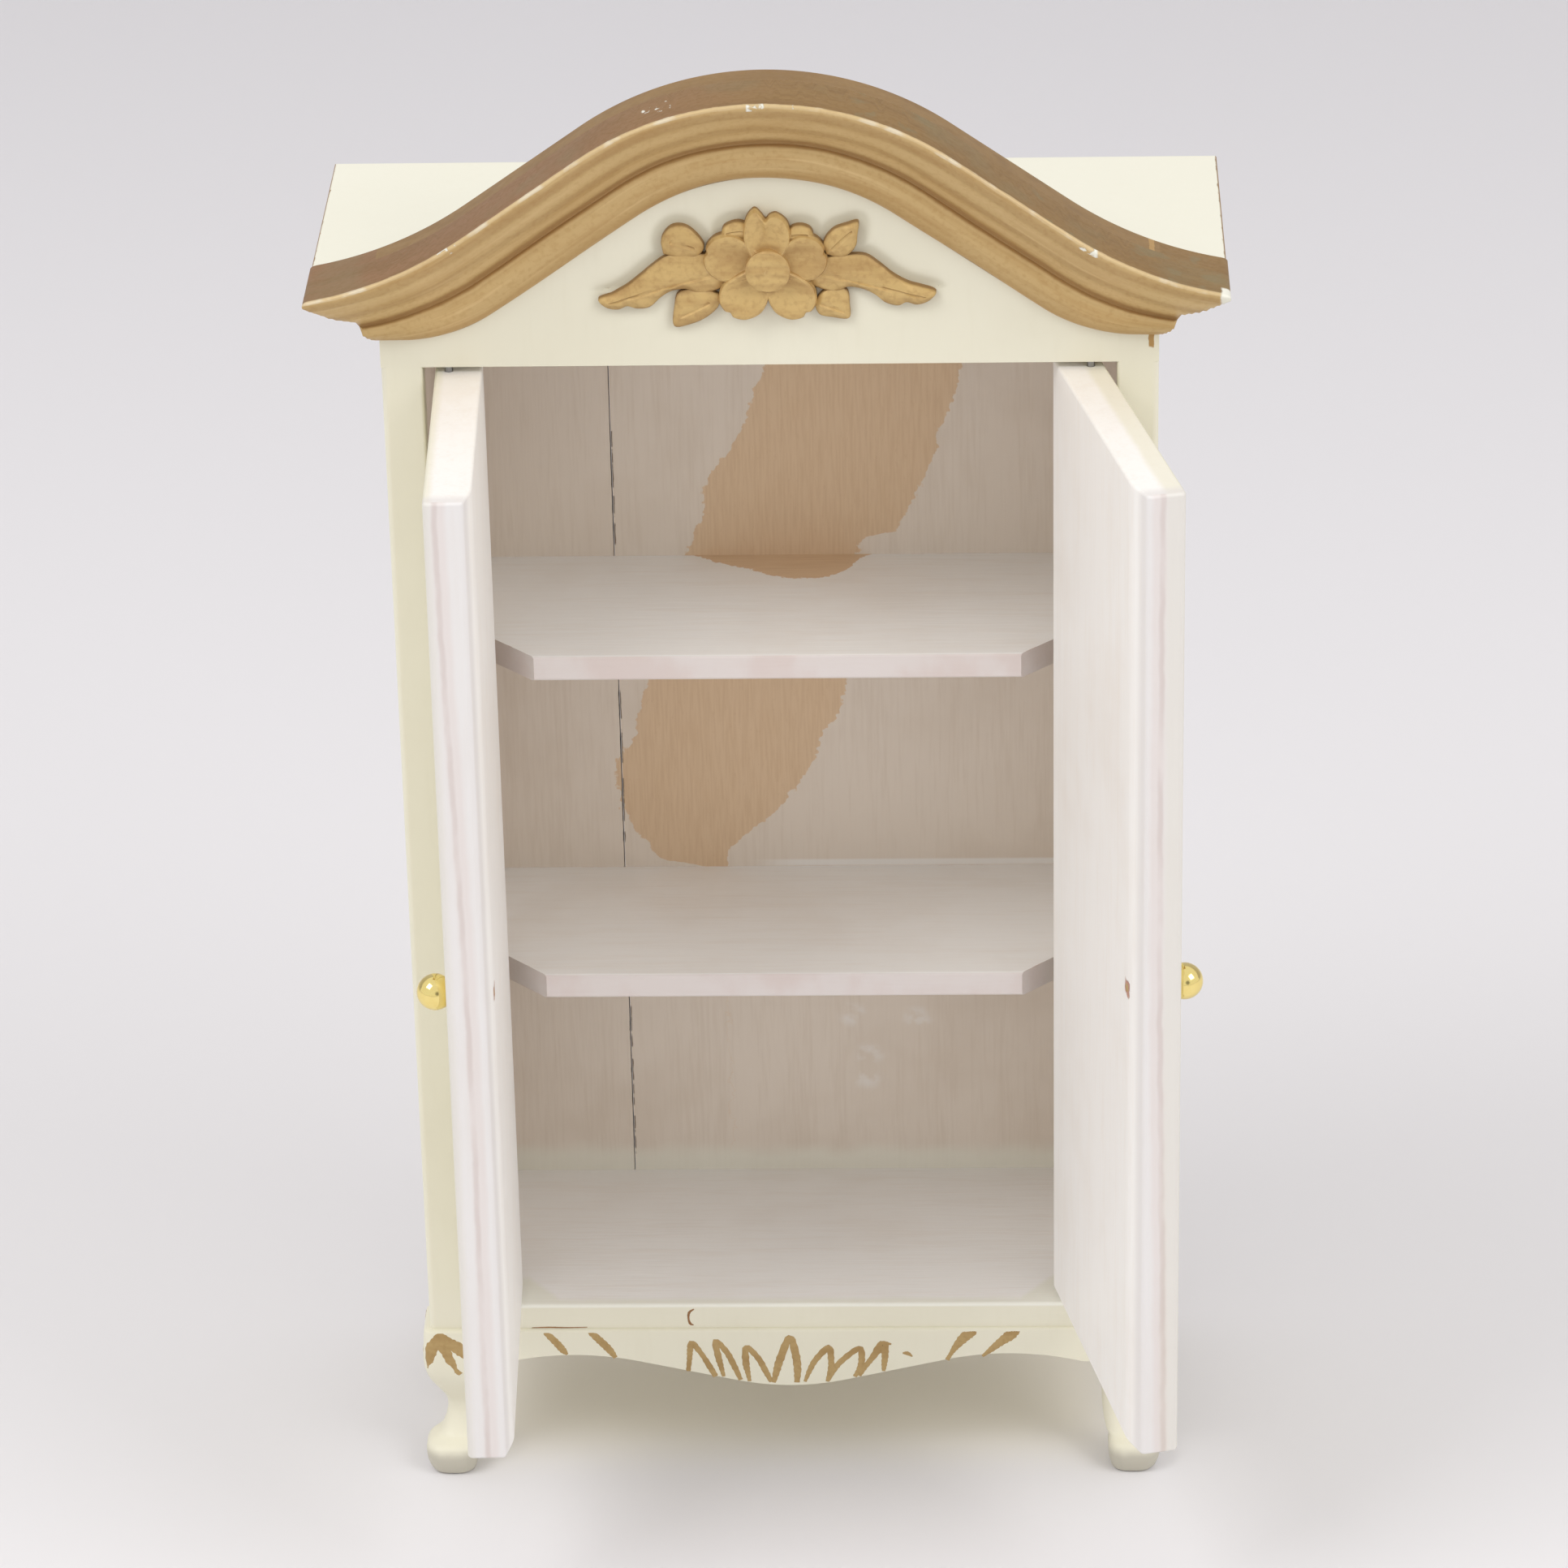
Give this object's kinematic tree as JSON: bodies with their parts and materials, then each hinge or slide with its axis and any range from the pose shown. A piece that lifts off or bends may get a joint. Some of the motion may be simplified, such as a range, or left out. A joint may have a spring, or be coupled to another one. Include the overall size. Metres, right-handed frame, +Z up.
{
  "type": "dolls house wardrobe",
  "caption": "Miniature armoire with an arched cornice, cabriole legs, fixed shelves and a pair of doors that swing on pins; dolls' house furniture.",
  "frame": {"origin": "on the ground, midway between the sides and midway front to back with the doors standing open", "axes": "+Z up; the front faces -Y; +X to the right seen from the front"},
  "size_m": [0.1054, 0.0724, 0.1852],
  "materials": {
    "cream_paint": "ivory paint on wood, satin, rubbed at the edges",
    "white_wash": "thin matt white wash on wood, grain showing",
    "gold_paint": "bronze-gold paint on carved wood, satin",
    "brass": "polished",
    "pin_steel": "plain wire"
  },
  "bodies": {
    "carcass": {"left_side_panel": "cream_paint", "right_side_panel": "cream_paint", "top_board": "cream_paint", "left_stile": "cream_paint", "right_stile": "cream_paint", "pediment_board": "cream_paint", "front_apron": "cream_paint", "left_apron": "cream_paint", "right_apron": "cream_paint", "back_apron": "cream_paint", "front_left_leg": "cream_paint", "front_right_leg": "cream_paint", "rear_left_leg": "cream_paint", "rear_right_leg": "cream_paint", "back_board_narrow": "white_wash", "back_board_wide": "white_wash", "floor_board": "white_wash", "lower_shelf": "white_wash", "upper_shelf": "white_wash", "arched_cornice": "gold_paint", "left_cornice_return": "gold_paint", "right_cornice_return": "gold_paint", "carved_spray": "gold_paint", "hinge_pins": "pin_steel"},
    "door_left": {"left_door": "cream_paint", "left_knob": "brass"},
    "door_right": {"right_door": "cream_paint", "right_knob": "brass"}
  },
  "joints": [
    {"name": "left_door_hinge", "type": "hinge", "parent": "carcass", "child": "door_left", "pos_m": [-0.037, 0.0008, 0.087], "axis": [0, 0, -1], "range_deg": [-88.3, 31.7]},
    {"name": "right_door_hinge", "type": "hinge", "parent": "carcass", "child": "door_right", "pos_m": [0.037, 0.0008, 0.087], "axis": [0, 0, 1], "range_deg": [-103.2, 16.8]}
  ]
}
